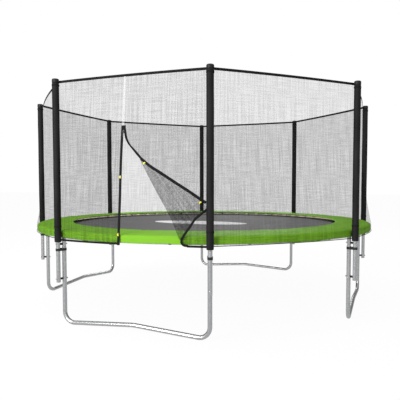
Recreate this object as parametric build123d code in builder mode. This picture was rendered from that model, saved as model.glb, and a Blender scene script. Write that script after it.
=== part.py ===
from build123d import *
import os
from math import atan2, cos, degrees, radians, sin, sqrt, tan

# A round garden trampoline with a safety net. Millimetres, +Z up, the origin on the ground
# below the middle, and the doorway of the net towards -Y.

# Driving dimensions: frame
sides = 8
frame_radius = 1811.0  # axis of the round top rail
rail_height = 790.0
tube_radius = 19.0
tube_wall = 1.5
plug_radius = 17.4  # tube ends that slide into the next tube
plug_wall = 1.5
joint_length = 60.0  # half the length of a rail tee
plug_length = 45.0
leg_top = 695.0
foot_radius = 95.0
rail_rise = 3.8  # degrees that a leg's ground rail climbs to its middle
middle_bend = 400.0
stub_bottom = 620.0

# Driving dimensions: net poles
pole_offset = 59.0  # from an upright's axis out to the pole's
pole_tube = 18.0
pole_bottom = 382.0
pole_joint = 1262.0
pole_top = 2136.0
foam_radius = 30.5
foam_bottom = 740.0
foam_top = 2128.0
cap_top = 2160.0
bolt_heights = (721.0, 413.0)
bolt_radius = 4.0
clamp_height = 672.0

# Driving dimensions: mat and springs
springs_count = 72
mat_radius = 1626.0
mat_top = 809.0
mat_thickness = 2.4
ring_bar = 1628.0  # where a ring's bar lies in its tab
ring_height = 801.5
hook_centre = 1656.0
spring_height = 806.0
coil_radius = 11.5
coil_bore = 8.3
coil_inner = 1672.0
coil_outer = 1778.0
wire = 1.6

# Driving dimensions: pad
pad_inner = 1468.0
pad_outer = 1835.8
pad_top = 842.0
pad_under = 824.0
pad_skirt = 784.0
pad_wall = 1.8

# Driving dimensions: net and doorway
net_radius = 1836.6  # inner face of the net where it meets a pole
net_thickness = 1.2
net_top = 2148.0
net_bottom = 745.0
net_bow = 22.0  # how far the top edge bows out between two poles
hem_width = 17.0
slit_top = (-20.0, 1722.0)  # x and z of the doorway's corners
slit_foot = (-20.0, 745.0)
fold_bend = (70.0, 1513.0)
fold_middle = (300.0, 1160.0)
fold_foot = (494.0, 785.0)
axis_depth = 1802.0  # how far the fold's axis lies in front of the middle
flap_slope = 0.2  # how fast the folded flap leans back towards the net
tape_width = 21.0
tape_thickness = 2.5

segment = 360 / sides
pole_angles = [-90 - segment / 2 + segment * i for i in range(sides)]
pole_radius = frame_radius + pole_offset
half_side = net_radius * sin(radians(segment / 2))
apothem = net_radius * cos(radians(segment / 2))
os.makedirs("parts", exist_ok=True)


def save(part, name):
    """Labels one finished node and writes it."""
    part.label = name
    export_step(part, f"parts/{name}.step")


def radial_plane(angle):
    """An upright plane through the middle: local x runs outwards and local y runs up."""
    a = radians(angle)
    return Plane(origin=(0, 0, 0), x_dir=(cos(a), sin(a), 0), z_dir=(sin(a), -cos(a), 0))


def outward_plane(angle, radius, height):
    """A plane that faces outwards at a pole's angle: local y runs up."""
    a = radians(angle)
    origin = (radius * cos(a), radius * sin(a), height)
    return Plane(origin=origin, x_dir=(-sin(a), cos(a), 0), z_dir=(cos(a), sin(a), 0))


def flat_plane(angle, radius, height):
    """A level plane at a pole's angle: local x runs outwards."""
    a = radians(angle)
    origin = (radius * cos(a), radius * sin(a), height)
    return Plane(origin=origin, x_dir=(cos(a), sin(a), 0), z_dir=(0, 0, 1))


def rail_section(angle, outer, inner):
    """The top rail's ring section at one angle."""
    with BuildSketch(radial_plane(angle)) as section:
        with Locations((frame_radius, rail_height)):
            Circle(outer)
            if inner > 0:
                Circle(inner, mode=Mode.SUBTRACT)
    return section.sketch


def tube(plane, outer, inner, length):
    """A straight tube that starts on a plane."""
    with BuildPart() as piece:
        with BuildSketch(plane):
            Circle(outer)
            if inner > 0:
                Circle(inner, mode=Mode.SUBTRACT)
        extrude(amount=length)
    return piece.part


# ---------------------------------------------------------------- frame
def top_rail(middle):
    """One curved rail with swaged ends and a row of spring holes."""
    tee = degrees(joint_length / frame_radius)
    plug = degrees(plug_length / frame_radius)
    shoulder = degrees(4 / frame_radius)
    gap = degrees(0.3 / frame_radius)
    start = middle - segment / 2 + tee + gap
    end = middle + segment / 2 - tee - gap
    bore = plug_radius - plug_wall
    with BuildPart() as rail:
        revolve(
            rail_section(start, tube_radius, tube_radius - tube_wall),
            axis=Axis.Z,
            revolution_arc=end - start,
        )
        for edge in (start, end - shoulder):
            revolve(rail_section(edge, tube_radius, bore), axis=Axis.Z, revolution_arc=shoulder)
        for edge in (start - plug, end):
            revolve(rail_section(edge, plug_radius, bore), axis=Axis.Z, revolution_arc=plug)
        per_rail = springs_count // sides
        pitch = segment / per_rail
        for i in range(per_rail):
            a = radians(middle + (i - (per_rail - 1) / 2) * pitch)
            hole = Plane(
                origin=(frame_radius * cos(a), frame_radius * sin(a), rail_height),
                z_dir=(-cos(a), -sin(a), 1),
            )
            with BuildSketch(hole):
                Circle(3.0)
            extrude(amount=tube_radius + 4, mode=Mode.SUBTRACT)
    return rail.part


def rail_tee(angle):
    """The socket that joins two rails and drops a stub into a leg."""
    half = degrees(joint_length / frame_radius)
    stub = flat_plane(angle, frame_radius, stub_bottom)
    with BuildPart() as tee:
        revolve(rail_section(angle - half, tube_radius, 0), axis=Axis.Z, revolution_arc=2 * half)
        add(tube(stub, plug_radius, 0, rail_height - stub_bottom))
        revolve(
            rail_section(angle - half, tube_radius - tube_wall, 0),
            axis=Axis.Z,
            revolution_arc=2 * half,
            mode=Mode.SUBTRACT,
        )
        stub_bore = tube(stub, plug_radius - plug_wall, 0, rail_height - stub_bottom)
        add(stub_bore, mode=Mode.SUBTRACT)
        bolt = outward_plane(angle, frame_radius - 40, bolt_heights[0])
        add(tube(bolt, bolt_radius + 0.3, 0, 80), mode=Mode.SUBTRACT)
    return tee.part


def leg(middle):
    """One bent leg: two uprights joined by a ground rail that climbs to a gentle bend."""
    a = radians(middle)
    half = frame_radius * sin(radians(segment / 2))
    reach = frame_radius * cos(radians(segment / 2))
    plane = Plane(
        origin=(reach * cos(a), reach * sin(a), 0),
        x_dir=(-sin(a), cos(a), 0),
        z_dir=(cos(a), sin(a), 0),
    )
    tangent = foot_radius * tan(radians((90 + rail_rise) / 2))
    corner = tube_radius + foot_radius - tangent
    crown = corner + half * tan(radians(rail_rise))
    with BuildPart() as body:
        with BuildLine(plane) as path:
            FilletPolyline(
                (-half, leg_top),
                (-half, corner),
                (0, crown),
                (half, corner),
                (half, leg_top),
                radius=(foot_radius, middle_bend, foot_radius),
            )
        with BuildSketch(Plane(origin=path.line @ 0, z_dir=path.line % 0)):
            Circle(tube_radius)
            Circle(tube_radius - tube_wall, mode=Mode.SUBTRACT)
        sweep()
        for side in (-segment / 2, segment / 2):
            bolt = outward_plane(middle + side, frame_radius - 40, bolt_heights[1])
            add(tube(bolt, bolt_radius + 0.3, 0, 80), mode=Mode.SUBTRACT)
    return body.part


# ---------------------------------------------------------------- net poles
def pole_lower(angle):
    """The lower pole tube, which is bolted beside an upright."""
    with BuildPart() as pole:
        foot = flat_plane(angle, pole_radius, pole_bottom)
        add(tube(foot, pole_tube, pole_tube - tube_wall, pole_joint - pole_bottom))
        for height in bolt_heights:
            bolt = outward_plane(angle, pole_radius - 40, height)
            add(tube(bolt, bolt_radius + 0.3, 0, 80), mode=Mode.SUBTRACT)
    return pole.part


def pole_upper(angle):
    """The upper pole tube, swaged at its foot to slide into the lower one."""
    plug = pole_tube - tube_wall - 0.1
    with BuildPart() as pole:
        add(tube(flat_plane(angle, pole_radius, pole_joint + 0.3), pole_tube, plug - tube_wall, 4))
        shaft = flat_plane(angle, pole_radius, pole_joint + 4)
        add(tube(shaft, pole_tube, pole_tube - tube_wall, pole_top - pole_joint - 4))
        add(tube(flat_plane(angle, pole_radius, pole_joint - 60), plug, plug - tube_wall, 61))
    return pole.part


def foam_sleeve(angle):
    """The foam tube over the pole."""
    return tube(
        flat_plane(angle, pole_radius, foam_bottom),
        foam_radius,
        pole_tube + 0.5,
        foam_top - foam_bottom,
    )


def pole_cap(angle):
    """The domed cap: a skirt over the pole's end and a rounded top."""
    with BuildPart() as cap:
        add(tube(flat_plane(angle, pole_radius, foam_top + 0.3), foam_radius, pole_tube + 0.3, 10))
        crown = tube(
            flat_plane(angle, pole_radius, pole_top + 0.3), foam_radius, 0, cap_top - pole_top - 0.3
        )
        add(crown)
        fillet(cap.edges().filter_by(GeomType.CIRCLE).sort_by(Axis.Z)[-1], radius=11)
    return cap.part


def pole_bolt(angle, height, inner_radius):
    """A domed bolt from the pole's outer side to the upright's inner side."""
    outer_face = pole_radius + pole_tube + 0.2
    inner_face = frame_radius - inner_radius - 12
    with BuildPart() as bolt:
        add(tube(outward_plane(angle, inner_face, height), bolt_radius, 0, outer_face - inner_face))
        add(tube(outward_plane(angle, outer_face, height), 9.0, 0, 6.0))
        outwards = Axis((0, 0, height), outward_plane(angle, 0, height).z_dir)
        fillet(bolt.faces().sort_by(outwards)[-1].edges(), radius=3.5)
    return bolt.part


def pole_nut(angle, height, inner_radius):
    """A hexagon nut on the upright's inner side."""
    seat = frame_radius - inner_radius - 0.2
    with BuildPart() as nut:
        with BuildSketch(outward_plane(angle, seat - 8, height)):
            RegularPolygon(radius=7.5, side_count=6)
            Circle(bolt_radius + 0.1, mode=Mode.SUBTRACT)
        extrude(amount=8)
    return nut.part


def pole_spacer(angle, height, inner_radius):
    """The plastic spacer on a bolt between upright and pole."""
    seat = frame_radius + inner_radius + 0.3
    length = pole_offset - pole_tube - inner_radius - 0.6
    return tube(outward_plane(angle, seat, height), 10.0, bolt_radius + 0.4, length)


def strap_clamp(angle):
    """The flat band round an upright and its pole."""
    with BuildPart() as clamp:
        with BuildSketch(flat_plane(angle, frame_radius + pole_offset / 2, clamp_height - 11)):
            SlotCenterToCenter(pole_offset, 2 * (tube_radius + 2.6))
            SlotCenterToCenter(pole_offset, 2 * (tube_radius + 0.4), mode=Mode.SUBTRACT)
        extrude(amount=22)
    return clamp.part


def group(name, pieces):
    """Writes equal pieces as one node of separate solids."""
    with BuildPart() as node:
        add(pieces)
    save(node.part, name)


# ---------------------------------------------------------------- mat and springs
def spring_unit():
    """One extension spring along +X: a coil's envelope, closed ends and two hooks."""
    start = Plane(origin=(coil_inner, 0, spring_height), z_dir=(1, 0, 0))
    length = coil_outer - coil_inner
    with BuildPart() as spring:
        add(tube(start, coil_radius, coil_bore, length))
        for place in (0, length - 3):
            add(tube(start.offset(place), coil_radius, 0, 3))
        with BuildLine(Plane.XZ) as inner_path:
            hook_radius = spring_height - ring_height
            Line((coil_inner + 1, spring_height), (hook_centre, spring_height))
            ThreePointArc(
                (hook_centre, spring_height),
                (hook_centre - hook_radius, ring_height),
                (hook_centre, ring_height - hook_radius),
            )
        with BuildSketch(Plane(origin=(coil_inner + 1, 0, spring_height), z_dir=(-1, 0, 0))):
            Circle(wire)
        sweep(path=inner_path.line)
        with BuildLine(Plane.XZ) as outer_path:
            FilletPolyline(
                (coil_outer - 1, spring_height),
                (frame_radius - 16, spring_height),
                (frame_radius - 7, spring_height - 9),
                radius=4,
            )
        with BuildSketch(Plane(origin=(coil_outer - 1, 0, spring_height), z_dir=(1, 0, 0))):
            Circle(wire)
        sweep(path=outer_path.line)
    return spring.part


def ring_unit():
    """One triangular wire ring, its bar along Y and its corner towards the spring."""
    with BuildPart() as ring:
        with BuildLine(Plane.XY.offset(ring_height)) as path:
            FilletPolyline(
                (ring_bar, 20),
                (hook_centre + 4.4, 0),
                (ring_bar, -20),
                radius=(4, 5, 4),
                close=True,
            )
        with BuildSketch(Plane(origin=path.line @ 0, z_dir=path.line % 0)):
            Circle(2.0)
        sweep(path=path.line)
    return ring.part


def tab_unit():
    """One webbing tab, folded round a ring's bar and sewn under the mat."""
    with BuildPart() as tab:
        with BuildSketch(Plane.XZ.offset(-14)):
            with Locations((ring_bar, ring_height)):
                Circle(4.4)
            with Locations((ring_bar - 26, ring_height - 0.6)):
                Rectangle(52, 3.0)
            with Locations((ring_bar, ring_height)):
                Circle(2.4, mode=Mode.SUBTRACT)
        extrude(amount=28)
    return tab.part


def ring_of(unit, name):
    """Repeats one unit round the mat as a node of separate solids."""
    with BuildPart() as node:
        with PolarLocations(0, springs_count):
            add(unit)
    save(node.part, name)


def mat_disc():
    """The woven mat."""
    with BuildPart() as mat:
        with BuildSketch(Plane.XY.offset(mat_top - mat_thickness)):
            Circle(mat_radius)
        extrude(amount=mat_thickness)
    return mat.part


def mat_edge_band():
    """The webbing sewn under the mat's edge."""
    with BuildPart() as band:
        with BuildSketch(Plane.XY.offset(mat_top - mat_thickness - 3.1)):
            Circle(mat_radius - 6)
            Circle(mat_radius - 66, mode=Mode.SUBTRACT)
        extrude(amount=2.9)
    return band.part


# ---------------------------------------------------------------- pad
def pad_cover():
    """The hollow cover: a flat ring over the springs with a skirt outside the rail."""
    skirt = 4.0
    with BuildPart() as cover:
        with BuildSketch(Plane.XZ) as section:
            with BuildLine():
                Polyline(
                    (pad_inner, pad_under),
                    (pad_outer - skirt, pad_under),
                    (pad_outer - skirt, pad_skirt),
                    (pad_outer, pad_skirt),
                    (pad_outer, pad_top),
                    (pad_inner, pad_top),
                    close=True,
                )
            make_face()
            fillet(section.vertices().group_by(Axis.Y)[-1], radius=7)
            with BuildLine():
                Polyline(
                    (pad_inner + pad_wall, pad_under + pad_wall),
                    (pad_outer - 6, pad_under + pad_wall),
                    (pad_outer - 6, pad_top - pad_wall - 4),
                    (pad_outer - 11, pad_top - pad_wall),
                    (pad_inner + 9, pad_top - pad_wall),
                    (pad_inner + pad_wall, pad_top - pad_wall - 6),
                    close=True,
                )
            make_face(mode=Mode.SUBTRACT)
        revolve(axis=Axis.Z)
    return cover.part


def pad_foam():
    """The foam core inside the cover."""
    low = pad_under + pad_wall + 0.3
    high = pad_top - pad_wall - 0.3
    with BuildPart() as foam:
        with BuildSketch(Plane.XZ):
            with BuildLine():
                Polyline(
                    (pad_inner + 3, low),
                    (pad_outer - 7, low),
                    (pad_outer - 7, high - 4.5),
                    (pad_outer - 12, high),
                    (pad_inner + 10, high),
                    (pad_inner + 3, high - 6.5),
                    close=True,
                )
            make_face()
        revolve(axis=Axis.Z)
    return foam.part


def pad_tie(angle):
    """One elastic tie round the rail, sewn to the underside of the pad."""
    with BuildPart() as tie:
        with BuildSketch(radial_plane(angle).offset(-10)):
            with Locations((frame_radius, rail_height)):
                Circle(tube_radius + 1.6)
            with Locations((frame_radius, (rail_height + pad_under) / 2)):
                Rectangle(4, pad_under - rail_height - 0.6)
            with Locations((frame_radius, rail_height)):
                Circle(tube_radius + 0.4, mode=Mode.SUBTRACT)
        extrude(amount=20)
    return tie.part


# ---------------------------------------------------------------- net
def top_depth(x):
    """How far out the net's top edge stands at a distance along its side."""
    return apothem + net_bow * (1 - (x / half_side) ** 2)


def net_depth(x, height):
    """How far out the inner face of the net stands above the pad's edge."""
    foot = sqrt(net_radius**2 - x**2)
    share = (net_top - height) / (net_top - pad_top)
    return top_depth(x) + min(share, 1) * (foot - top_depth(x))


def bowed_strip(middle, height, thickness, inset=0.0, short=0.6):
    """The top edge's outline on a level plane: a shallow arc of the net's thickness."""
    plane = Plane(
        origin=(0, 0, height),
        x_dir=(-sin(radians(middle)), cos(radians(middle)), 0),
        z_dir=(0, 0, 1),
    )
    end = half_side - short
    near = apothem + inset
    with BuildSketch(plane) as strip:
        with BuildLine():
            ThreePointArc((-end, -near), (0, -near - net_bow), (end, -near))
            Line((end, -near), (end, -near - thickness))
            ThreePointArc(
                (end, -near - thickness), (0, -near - net_bow - thickness), (-end, -near - thickness)
            )
            Line((-end, -near - thickness), (-end, -near))
        make_face()
    return strip.sketch


def round_strip(middle, height, thickness):
    """The same strip where the net wraps the round pad."""
    plane = Plane(
        origin=(0, 0, height),
        x_dir=(-sin(radians(middle)), cos(radians(middle)), 0),
        z_dir=(0, 0, 1),
    )
    end = half_side - 0.6
    near = sqrt(net_radius**2 - end**2)
    with BuildSketch(plane) as strip:
        with BuildLine():
            ThreePointArc((-end, -near), (0, -net_radius), (end, -near))
            Line((end, -near), (end, -near - thickness))
            ThreePointArc(
                (end, -near - thickness), (0, -net_radius - thickness), (-end, -near - thickness)
            )
            Line((-end, -near - thickness), (-end, -near))
        make_face()
    return strip.sketch


def net_panel(middle):
    """One side of the net: ruled from its bowed top edge to the pad, then straight down."""
    with BuildPart() as panel:
        loft([round_strip(middle, pad_top, net_thickness),
              bowed_strip(middle, net_top, net_thickness)], ruled=True)
        extrude(round_strip(middle, net_bottom, net_thickness), amount=pad_top - net_bottom)
    return panel.part


def front_panel(points):
    """The part of the front side of the net inside an outline of x and z."""
    with BuildPart() as panel:
        add(net_panel(-90))
        with BuildSketch(Plane.XZ.offset(apothem - 60)):
            with BuildLine():
                Polyline(points, close=True)
            make_face()
        extrude(amount=300, mode=Mode.INTERSECT)
    return panel.part


def net_top_hem():
    """The webbing along the net's top edge, one length for each side."""
    height = net_top - hem_width
    inset = 2.2 + net_thickness
    with BuildPart() as hem:
        for i in range(sides):
            strip = bowed_strip(-90 + segment * i, height, 1.6, inset=inset, short=12)
            extrude(strip, amount=hem_width)
    return hem.part


def net_bottom_hem():
    """The webbing along the net's bottom edge, open across the doorway."""
    inner = net_radius + net_thickness + 0.1
    left = degrees(atan2(-inner, slit_foot[0]))
    right = degrees(atan2(-inner, fold_foot[0]))
    with BuildPart() as hem:
        with BuildSketch(radial_plane(right)):
            with Locations((inner + 0.6, net_bottom + hem_width / 2)):
                Rectangle(1.2, hem_width)
        revolve(axis=Axis.Z, revolution_arc=360 + left - right)
    return hem.part


def pole_loops(angle):
    """Elastic loops that hold the net against one sleeve."""
    with BuildPart() as loops:
        for height in (870.0, 2096.0):
            add(tube(flat_plane(angle, pole_radius, height), foam_radius + 1.5, foam_radius + 0.3, 14))
    return loops.part


# ---------------------------------------------------------------- doorway
slit_start = Vector(slit_top[0], -net_depth(*slit_top) - net_thickness, slit_top[1])
slit_end = Vector(slit_foot[0], -net_radius - net_thickness, pad_top)
slit_up = (slit_start - slit_end).normalized()
slit_out = Vector(1, 0, 0).cross(slit_up).normalized()
if slit_out.Y > 0:
    slit_out = slit_out * -1
slit_right = slit_up.cross(slit_out).normalized()
slit_plane = Plane(origin=slit_start, x_dir=slit_right, z_dir=slit_out)
slit_length = slit_top[1] - net_bottom
tape_gap = 1.2  # from the net's outer face to the tape
stop_height = 34.0
slider_top = -stop_height - 3.0

fold_start = Vector(slit_top[0], -axis_depth, slit_top[1])
fold_end = Vector(fold_foot[0], -axis_depth, fold_foot[1])
fold_down = (fold_end - fold_start).normalized()
level_side = Vector(-fold_down.Z, 0, fold_down.X)
flap_side = Vector(level_side.X, flap_slope, level_side.Z).normalized()
flap_out = flap_side.cross(fold_down).normalized()
if flap_out.Y > 0:
    flap_out = flap_out * -1
flap_plane = Plane(origin=fold_start, x_dir=fold_down, z_dir=flap_out)
flap_sign = 1 if flap_plane.y_dir.dot(flap_side) > 0 else -1
flap_edge = [  # along and across the fold
    (290, 4),
    (494, 109),
    (663, 202),
    (829, 288),
    (888, 314),
    (928, 280),
    (951, 179),
    (1016, 59),
]
flap_foot = 1062.0


def flap_point(along, across):
    """A point of the flap in its own plane."""
    return (along, flap_sign * across)


def door_flap():
    """The folded flap, a flat sheet from the fold to its free edge."""
    points = [flap_point(u, v) for u, v in flap_edge]
    with BuildPart() as flap:
        with BuildSketch(flap_plane):
            with BuildLine():
                Polyline(points + [flap_point(flap_foot, 4)], close=True)
            make_face()
        extrude(amount=net_thickness)
    return flap.part


def zip_tape_flap():
    """The zip tape and hem along the flap's free edges."""
    points = [flap_point(u, v - 4) for u, v in flap_edge[1:]]
    with BuildPart() as tape:
        with BuildSketch(flap_plane.offset(net_thickness + 0.3)):
            with BuildLine(mode=Mode.PRIVATE) as centre:
                Polyline([flap_point(350, 31)] + points + [flap_point(flap_foot - 20, 22)])
            trace(centre.line, line_width=tape_width)
        extrude(amount=tape_thickness)
    return tape.part


def zip_tape_left():
    """The fixed half of the zip, with the sewn stop at its top."""
    with BuildPart() as tape:
        with BuildSketch(slit_plane.offset(tape_gap)):
            with Locations((-tape_width / 2, -slit_length / 2)):
                Rectangle(tape_width, slit_length)
        extrude(amount=tape_thickness)
        with BuildSketch(slit_plane.offset(tape_gap)):
            with Locations((-3, -stop_height / 2)):
                Rectangle(36, stop_height)
        extrude(amount=tape_thickness + 1.5)
    return tape.part


slider_height = 24.0
pin_out = tape_gap + tape_thickness + 7.0
pin_down = slider_top - 8.0


def zip_slider():
    """The slider: two plates joined past the tape's edge, and a bridge for the pull."""
    mid = slider_top - slider_height / 2
    with BuildPart() as slider:
        with BuildSketch(slit_plane.offset(tape_gap - 2.6)):
            with Locations((-0.5, mid)):
                RectangleRounded(13, slider_height, 2)
        extrude(amount=tape_thickness + 5.2)
        with BuildSketch(slit_plane.offset(tape_gap - 0.4)):
            with Locations((-9, mid)):
                Rectangle(19, slider_height + 2)
        extrude(amount=tape_thickness + 0.8, mode=Mode.SUBTRACT)
        face = tape_gap + tape_thickness + 2.6
        with BuildSketch(slit_plane.offset(face)):
            with Locations((-4.0, pin_down), (3.0, pin_down)):
                Rectangle(1.6, 6)
        extrude(amount=pin_out - face + 2.4)
        pin = Plane(
            origin=slit_plane.from_local_coords(Vector(-4.0, pin_down, pin_out)),
            z_dir=slit_right,
        )
        with BuildSketch(pin):
            Circle(1.2)
        extrude(amount=7)
    return slider.part


def zip_pull():
    """The pull: an eye round the slider's bridge and a tapered tag."""
    width = 4.0
    eye = Plane(
        origin=slit_plane.from_local_coords(Vector(-0.5 - width / 2, pin_down, pin_out)),
        x_dir=slit_up * -1,
        z_dir=slit_right,
    )
    with BuildPart() as pull:
        with BuildSketch(eye):
            Circle(2.8)
            with Locations((24, 0)):
                Rectangle(46, 1.8)
            Circle(1.5, mode=Mode.SUBTRACT)
        extrude(amount=width)
    return pull.part


def clip_at(plane, x, y):
    """One small side-release clip: a rounded body with a slot."""
    with BuildPart() as clip:
        with BuildSketch(plane):
            with Locations((x, y)):
                RectangleRounded(12, 20, 2.5)
                SlotOverall(7, 2.5, mode=Mode.SUBTRACT)
        extrude(amount=5)
    return clip.part


# ---------------------------------------------------------------- build
for i, pole_angle in enumerate(pole_angles):
    save(top_rail(pole_angle + segment / 2), f"top_rail_{i + 1}")
    save(pole_lower(pole_angle), f"pole_lower_{i + 1}")
    save(foam_sleeve(pole_angle), f"foam_sleeve_{i + 1}")

for name, leg_angle in (("front", -90), ("right", 0), ("back", 90), ("left", 180)):
    save(leg(leg_angle), f"leg_{name}")

upright_radii = (plug_radius, tube_radius)
places = [(a, h, r) for a in pole_angles for h, r in zip(bolt_heights, upright_radii)]
group("rail_tees", [rail_tee(a) for a in pole_angles])
group("pole_uppers", [pole_upper(a) for a in pole_angles])
group("pole_caps", [pole_cap(a) for a in pole_angles])
group("pole_bolts", [pole_bolt(*place) for place in places])
group("pole_nuts", [pole_nut(*place) for place in places])
group("pole_spacers", [pole_spacer(*place) for place in places])
group("strap_clamps", [strap_clamp(a) for a in pole_angles])

ring_of(spring_unit(), "springs")
ring_of(ring_unit(), "mat_rings")
ring_of(tab_unit(), "ring_tabs")
save(mat_disc(), "jumping_mat")
save(mat_edge_band(), "mat_edge_band")

save(pad_cover(), "pad_cover")
save(pad_foam(), "pad_foam")
tie_angles = [a + segment / 2 + side for a in pole_angles for side in (-12.5, 12.5)]
group("pad_ties", [pad_tie(a) for a in tie_angles])

outer_x = half_side + 5
group("net_side_panels", [net_panel(-90 + segment * i) for i in range(1, sides)])
left_edge = [
    (-outer_x, net_top + 5),
    (slit_top[0] - 10, net_top + 5),
    (slit_top[0] - 10, slit_top[1]),
    (slit_foot[0] - 10, pad_top),
    (slit_foot[0] - 10, net_bottom - 5),
    (-outer_x, net_bottom - 5),
]
right_edge = [
    (slit_top[0] - 9, net_top + 5),
    (outer_x, net_top + 5),
    (outer_x, net_bottom - 5),
    (fold_foot[0], net_bottom - 5),
    fold_foot,
    fold_middle,
    fold_bend,
    (slit_top[0] + 12, slit_top[1]),
    (slit_top[0] - 9, slit_top[1]),
]
save(front_panel(left_edge), "net_front_left")
save(front_panel(right_edge), "net_front_right")
save(net_top_hem(), "net_top_hem")
save(net_bottom_hem(), "net_bottom_hem")
group("net_pole_loops", [pole_loops(a) for a in pole_angles])

save(door_flap(), "door_flap")
save(zip_tape_flap(), "zip_tape_flap")
save(zip_tape_left(), "zip_tape_left")
save(zip_slider(), "zip_slider")
save(zip_pull(), "zip_pull")
slit_clips = [(-16.0, -418.0), (-16.0, -885.0)]  # across and along the slit
clip_plane = slit_plane.offset(tape_gap + tape_thickness + 0.3)
group("door_clips", [clip_at(clip_plane, x, y) for x, y in slit_clips])
flap_clip_plane = flap_plane.offset(net_thickness + tape_thickness + 0.6)
flap_clips = [flap_point(366, 30), flap_point(857, 289)]
group("flap_clips", [clip_at(flap_clip_plane, x, y) for x, y in flap_clips])
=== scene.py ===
import math
import random

import bpy
import numpy as np
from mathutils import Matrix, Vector


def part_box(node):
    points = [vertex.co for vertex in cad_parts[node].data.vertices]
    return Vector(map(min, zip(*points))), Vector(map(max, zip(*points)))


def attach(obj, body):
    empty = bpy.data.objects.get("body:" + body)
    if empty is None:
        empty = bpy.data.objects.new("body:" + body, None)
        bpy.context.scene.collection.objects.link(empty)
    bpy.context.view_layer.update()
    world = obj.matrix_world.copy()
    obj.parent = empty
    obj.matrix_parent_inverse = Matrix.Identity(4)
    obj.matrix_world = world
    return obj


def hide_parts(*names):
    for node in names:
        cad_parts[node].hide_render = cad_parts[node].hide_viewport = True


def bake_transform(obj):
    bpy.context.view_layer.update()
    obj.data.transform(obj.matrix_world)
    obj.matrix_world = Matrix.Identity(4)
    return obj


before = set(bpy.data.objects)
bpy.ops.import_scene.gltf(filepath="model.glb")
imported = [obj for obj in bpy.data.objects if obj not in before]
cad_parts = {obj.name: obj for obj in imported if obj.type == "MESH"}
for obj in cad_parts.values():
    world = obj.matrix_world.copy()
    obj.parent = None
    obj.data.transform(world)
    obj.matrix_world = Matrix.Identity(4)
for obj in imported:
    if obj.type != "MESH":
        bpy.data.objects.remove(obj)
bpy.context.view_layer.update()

# A round garden trampoline with a safety net, in metres, +Z up, the doorway towards -Y.
SIDES = 8
HALF_TURN = math.radians(22.5)
POLE_ANGLES = [math.radians(-112.5 + 45 * i) for i in range(SIDES)]
SIDE_ANGLES = [math.radians(-90 + 45 * i) for i in range(SIDES)]

pad_low, pad_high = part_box("pad_cover")
PAD_OUT = pad_high[0]
PAD_IN = 1.468  # the pad's inner radius
PAD_TOP = pad_high[2]
PAD_UNDER = 0.824  # the underside of the padding
SKIRT_LOW = pad_low[2] - 0.009  # the cloth skirt hangs a little lower
NET_R = 1.8372  # the net's radius at the poles
NET_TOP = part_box("net_side_panels")[1][2]
NET_HALF = NET_R * math.sin(HALF_TURN)
NET_FLAT = NET_R * math.cos(HALF_TURN)
NET_BOW = 0.022  # how far each side bows out in its middle
NET_EDGE = NET_TOP - 0.004  # the mesh ends inside the top hem
SIDE_FLARE = 2.6  # the plain sides lean out mostly near the pad
HEM_POLE = 0.757  # the bottom hem's height at a pole and between two poles
HEM_MIDDLE = 0.768
mat_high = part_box("jumping_mat")[1]
MAT_R = mat_high[0]
MAT_Z = mat_high[2]
foam_low, foam_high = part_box("foam_sleeve_1")
FOAM_R = (foam_high[0] - foam_low[0]) / 2
POLE_R = math.hypot((foam_low[0] + foam_high[0]) / 2, (foam_low[1] + foam_high[1]) / 2)

# The doorway on the front side, as x and z: the zip's slit, the fold and the free edge.
SLIT_X = -0.020
SLIT_TOP = 1.722
SEAM_X = SLIT_X - 0.010  # the seam above the slit
SLIT_EDGE = SLIT_X - 0.0125  # the middle of the fixed tape
SLIT_SAG = 0.004
SLIT_LEAN = 0.0903  # the slider's path keeps leaning out below the pad's top
FOLD_EDGE = [
    (-0.012, 1.700),
    (-0.002, 1.640),
    (0.026, 1.575),
    (0.070, 1.522),
    (0.136, 1.448),
    (0.160, 1.405),
    (0.229, 1.282),
    (0.300, 1.164),
    (0.368, 1.050),
    (0.420, 0.950),
    (0.478, 0.815),
]
FREE_EDGE = [
    (-0.010, 1.700),
    (0.005, 1.625),
    (0.035, 1.572),
    (0.082, 1.522),
    (0.147, 1.454),
    (0.227, 1.393),
    (0.313, 1.341),
    (0.396, 1.289),
    (0.476, 1.238),
    (0.554, 1.188),
    (0.631, 1.134),
    (0.675, 1.104),
]
FLAP_START = 4  # the flap begins at this point of both edges
FLAP_HEM = [
    (0.696, 1.087),
    (0.690, 1.062),
    (0.631, 1.009),
    (0.594, 0.974),
    (0.557, 0.915),
    (0.520, 0.860),
    (0.496, 0.818),
]
HEM_CORNER = [(0.496, 0.818), (0.492, 0.797), (0.499, 0.780), (0.516, 0.769), (0.545, 0.765)]


# Webbing and cord sizes.
TAPE_THICK = 0.0026
TOP_HEM_WIDTH = 0.022
BOTTOM_HEM_WIDTH = 0.017
SEAM_WIDTH = 0.018
TAPE_WIDTH = 0.024
CORD_WIDTH, CORD_THICK = 0.006, 0.003
WIRE_R = 0.0016
SPRINGS = 72


# ---------------------------------------------------------------- mesh helpers
def new_mesh(name, verts, faces, material, smooth=True, uvs=None):
    """Makes a mesh object from points and faces, with an optional UV for each point."""
    mesh = bpy.data.meshes.new(name)
    mesh.from_pydata([tuple(map(float, v)) for v in verts], [], faces)
    mesh.polygons.foreach_set("use_smooth", [smooth] * len(mesh.polygons))
    if uvs is not None:
        layer = mesh.uv_layers.new(name="cloth")
        for loop in mesh.loops:
            layer.data[loop.index].uv = uvs[loop.vertex_index]
    mesh.update()
    mesh.materials.append(material)
    piece = bpy.data.objects.new(name, mesh)
    bpy.context.collection.objects.link(piece)
    return piece


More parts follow.
